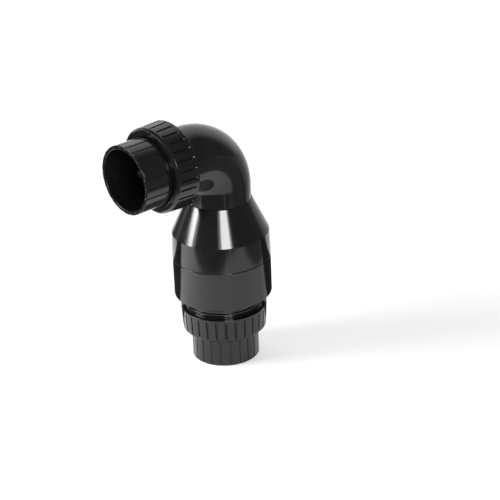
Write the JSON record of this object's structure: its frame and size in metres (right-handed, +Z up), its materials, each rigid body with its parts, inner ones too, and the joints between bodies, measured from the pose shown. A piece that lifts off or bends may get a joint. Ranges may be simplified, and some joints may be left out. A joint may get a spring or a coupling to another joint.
{
  "type": "foot valve",
  "caption": "Inline non-return foot valve with a coned round body, a right-angle outlet elbow and a union socket at each end.",
  "frame": {"origin": "centre of the inlet socket's mouth, on the valve's axis", "axes": "+Z up along the valve's axis from the inlet to the elbow, -X along the outlet, Y across"},
  "size_m": [0.1617, 0.0982, 0.2657],
  "materials": {
    "black_pvc": "polished black moulded plastic",
    "seal_rubber": "matt black rubber",
    "stainless_steel": "turned stainless steel",
    "guide_nylon": "natural nylon"
  },
  "bodies": {
    "housing": {"lower_housing": "black_pvc", "upper_housing": "black_pvc", "outlet_elbow": "black_pvc", "outlet_threaded_bush": "black_pvc", "seat_ring": "black_pvc", "seat_o_ring": "seal_rubber", "guide_cage": "black_pvc", "guide_bush": "guide_nylon", "inlet_o_ring": "seal_rubber", "outlet_o_ring": "seal_rubber", "closing_spring": "stainless_steel"},
    "poppet": {"poppet_disc": "black_pvc", "poppet_seal": "seal_rubber", "seal_retainer": "black_pvc", "poppet_stem": "stainless_steel", "stem_washer": "stainless_steel", "stem_nut": "stainless_steel"},
    "inlet_union_end": {"inlet_tailpiece": "black_pvc"},
    "inlet_nut": {"inlet_union_nut": "black_pvc"},
    "outlet_union_end": {"outlet_tailpiece": "black_pvc"},
    "outlet_nut": {"outlet_union_nut": "black_pvc"}
  },
  "joints": [
    {"name": "poppet_lift", "type": "slide", "parent": "housing", "child": "poppet", "axis": [0, 0, 1], "range_m": [0, 0.013], "stiffness_N_per_m": 150, "springref_m": -0.013, "deforming": ["closing_spring"]},
    {"name": "inlet_union_slide", "type": "slide", "parent": "housing", "child": "inlet_union_end", "axis": [0, 0, -1], "range_m": [0, 0.0101]},
    {"name": "inlet_nut_turn", "type": "hinge", "parent": "inlet_union_end", "child": "inlet_nut", "pos_m": [0, 0, 0.04], "axis": [0, 0, -1], "range_deg": [0, 900]},
    {"name": "outlet_union_slide", "type": "slide", "parent": "housing", "child": "outlet_union_end", "axis": [-1, 0, 0], "range_m": [0, 0.0101]},
    {"name": "outlet_nut_turn", "type": "hinge", "parent": "outlet_union_end", "child": "outlet_nut", "pos_m": [-0.0726, 0, 0.2226], "axis": [-1, 0, 0], "range_deg": [0, 900]}
  ],
  "couplings": [
    {"joint": "inlet_union_slide", "follows": "inlet_nut_turn", "m_per_rad": 0.00063662},
    {"joint": "outlet_union_slide", "follows": "outlet_nut_turn", "m_per_rad": 0.00063662}
  ]
}
